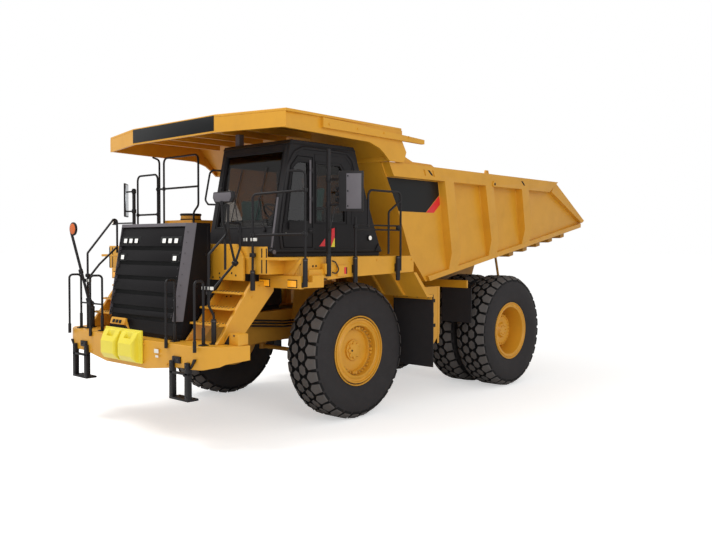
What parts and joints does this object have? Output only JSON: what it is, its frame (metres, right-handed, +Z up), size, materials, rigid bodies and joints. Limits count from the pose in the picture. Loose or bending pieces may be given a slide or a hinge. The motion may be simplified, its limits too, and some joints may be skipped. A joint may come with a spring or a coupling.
{
  "type": "rigid dump truck",
  "caption": "Full-size rigid off-highway dump truck with a tipping rock body, cab canopy, steered front wheels and twin rear wheels.",
  "frame": {"origin": "on the ground, on the centre plane, half way along the truck", "axes": "+X forward, +Y to the truck left, +Z up"},
  "size_m": [10.33, 5.9554, 4.59],
  "materials": {
    "yellow_paint": "satin construction yellow enamel",
    "buffer_paint": "gloss lemon yellow enamel",
    "black_paint": "satin near-black enamel",
    "grey_paint": "satin grey enamel",
    "tyre_rubber": "matt black tread rubber",
    "flap_rubber": "matt black sheet rubber",
    "clear_glass": "tinted safety glass",
    "lamp_lens": "clear lamp lens",
    "amber_lens": "amber lamp lens",
    "seat_cloth": "woven seat cloth",
    "dash_plastic": "grained moulded plastic",
    "engine_paint": "oil-stained enamel",
    "chrome_rod": "hard-chromed rod",
    "cylinder_paint": "black enamel"
  },
  "bodies": {
    "chassis": {"frame_rails": "yellow_paint", "crossmembers": "yellow_paint", "strut_arms": "yellow_paint", "rear_crossmember": "yellow_paint", "front_struts": "yellow_paint", "rear_axle_housing": "yellow_paint", "rear_struts": "yellow_paint", "engine_block": "engine_paint", "side_tanks": "yellow_paint", "radiator_guard": "black_paint", "grille_trim": "grey_paint", "grille": "black_paint", "headlamps": "lamp_lens", "front_bumper": "yellow_paint", "tow_blocks": "buffer_paint", "hung_steps": "black_paint", "stairs": "yellow_paint", "amber_lamps": "amber_lens", "deck": "yellow_paint", "front_panels": "yellow_paint", "fenders": "yellow_paint", "mud_flaps": "flap_rubber", "deck_rails_left": "black_paint", "deck_rails_right": "black_paint", "stair_handrails": "black_paint", "mirrors": "grey_paint", "air_cleaner": "yellow_paint", "cab_side_walls": "black_paint", "cab_front_frame": "black_paint", "cab_rear_wall": "black_paint", "cab_floor": "black_paint", "cab_roof": "black_paint", "cab_glass": "clear_glass", "seat": "seat_cloth", "console": "dash_plastic"},
    "cab_door": {"cab_door": "black_paint", "door_glass": "clear_glass"},
    "dump_body": {"body_floor": "yellow_paint", "body_front_wall": "yellow_paint", "body_sides": "yellow_paint", "canopy": "yellow_paint", "canopy_skirt": "yellow_paint", "rock_ejectors": "yellow_paint"},
    "hoist_barrel_left": {"hoist_barrel_left": "cylinder_paint"},
    "hoist_stage_left": {"hoist_stage_left": "chrome_rod"},
    "hoist_rod_left": {"hoist_rod_left": "chrome_rod"},
    "knuckle_left": {"steering_knuckle_left": "yellow_paint"},
    "front_wheel_left": {"front_tyre_left": "tyre_rubber", "front_rim_left": "yellow_paint"},
    "rear_wheels_left": {"rear_tyres_left": "tyre_rubber", "rear_rims_left": "yellow_paint"},
    "hoist_barrel_right": {"hoist_barrel_right": "cylinder_paint"},
    "hoist_stage_right": {"hoist_stage_right": "chrome_rod"},
    "hoist_rod_right": {"hoist_rod_right": "chrome_rod"},
    "knuckle_right": {"steering_knuckle_right": "yellow_paint"},
    "front_wheel_right": {"front_tyre_right": "tyre_rubber", "front_rim_right": "yellow_paint"},
    "rear_wheels_right": {"rear_tyres_right": "tyre_rubber", "rear_rims_right": "yellow_paint"},
    "tie_rod": {"tie_rod": "yellow_paint"}
  },
  "joints": [
    {"name": "body_lift", "type": "hinge", "parent": "chassis", "child": "dump_body", "pos_m": [-2.925, 0, 1.75], "axis": [0, -1, 0], "range_deg": [0, 50]},
    {"name": "hoist_swing_left", "type": "hinge", "parent": "chassis", "child": "hoist_barrel_left", "pos_m": [-1.005, 0.575, 0.9], "axis": [0, -1, 0], "range_deg": [0, 36.5]},
    {"name": "hoist_stage_left", "type": "slide", "parent": "hoist_barrel_left", "child": "hoist_stage_left", "axis": [0.3792, 0, 0.9253], "range_m": [0, 0.87]},
    {"name": "hoist_rod_left", "type": "slide", "parent": "hoist_stage_left", "child": "hoist_rod_left", "axis": [0.3792, 0, 0.9253], "range_m": [0, 0.87]},
    {"name": "hoist_swing_right", "type": "hinge", "parent": "chassis", "child": "hoist_barrel_right", "pos_m": [-1.005, -0.575, 0.9], "axis": [0, -1, 0], "range_deg": [0, 36.5]},
    {"name": "hoist_stage_right", "type": "slide", "parent": "hoist_barrel_right", "child": "hoist_stage_right", "axis": [0.3792, 0, 0.9253], "range_m": [0, 0.87]},
    {"name": "hoist_rod_right", "type": "slide", "parent": "hoist_stage_right", "child": "hoist_rod_right", "axis": [0.3792, 0, 0.9253], "range_m": [0, 0.87]},
    {"name": "steer_left", "type": "hinge", "parent": "chassis", "child": "knuckle_left", "pos_m": [1.985, 1.08, 1.073], "axis": [0, 0, 1], "range_deg": [-31, 31]},
    {"name": "steer_right", "type": "hinge", "parent": "chassis", "child": "knuckle_right", "pos_m": [1.985, -1.08, 1.073], "axis": [0, 0, 1], "range_deg": [-31, 31]},
    {"name": "tie_rod_slide", "type": "slide", "parent": "chassis", "child": "tie_rod", "axis": [0, -1, 0], "range_m": [-0.24, 0.24]},
    {"name": "front_wheel_left", "type": "hinge", "parent": "knuckle_left", "child": "front_wheel_left", "pos_m": [1.985, 1.564, 1.073], "axis": [0, 1, 0], "continuous": true},
    {"name": "rear_wheels_left", "type": "hinge", "parent": "chassis", "child": "rear_wheels_left", "pos_m": [-2.205, 1.385, 1.073], "axis": [0, 1, 0], "continuous": true},
    {"name": "front_wheel_right", "type": "hinge", "parent": "knuckle_right", "child": "front_wheel_right", "pos_m": [1.985, -1.564, 1.073], "axis": [0, 1, 0], "continuous": true},
    {"name": "rear_wheels_right", "type": "hinge", "parent": "chassis", "child": "rear_wheels_right", "pos_m": [-2.205, -1.385, 1.073], "axis": [0, 1, 0], "continuous": true},
    {"name": "cab_door", "type": "hinge", "parent": "chassis", "child": "cab_door", "pos_m": [3.115, 1.95, 3.355], "axis": [0, 0, 1], "range_deg": [0, 65]}
  ],
  "couplings": [
    {"joint": "hoist_swing_left", "follows": "body_lift", "ratio": 0.716},
    {"joint": "hoist_stage_left", "follows": "body_lift", "m_per_rad": 0.985},
    {"joint": "hoist_rod_left", "follows": "body_lift", "m_per_rad": 0.985},
    {"joint": "hoist_swing_right", "follows": "body_lift", "ratio": 0.716},
    {"joint": "hoist_stage_right", "follows": "body_lift", "m_per_rad": 0.985},
    {"joint": "hoist_rod_right", "follows": "body_lift", "m_per_rad": 0.985},
    {"joint": "steer_right", "follows": "steer_left", "ratio": 1},
    {"joint": "tie_rod_slide", "follows": "steer_left", "m_per_rad": 0.42}
  ]
}
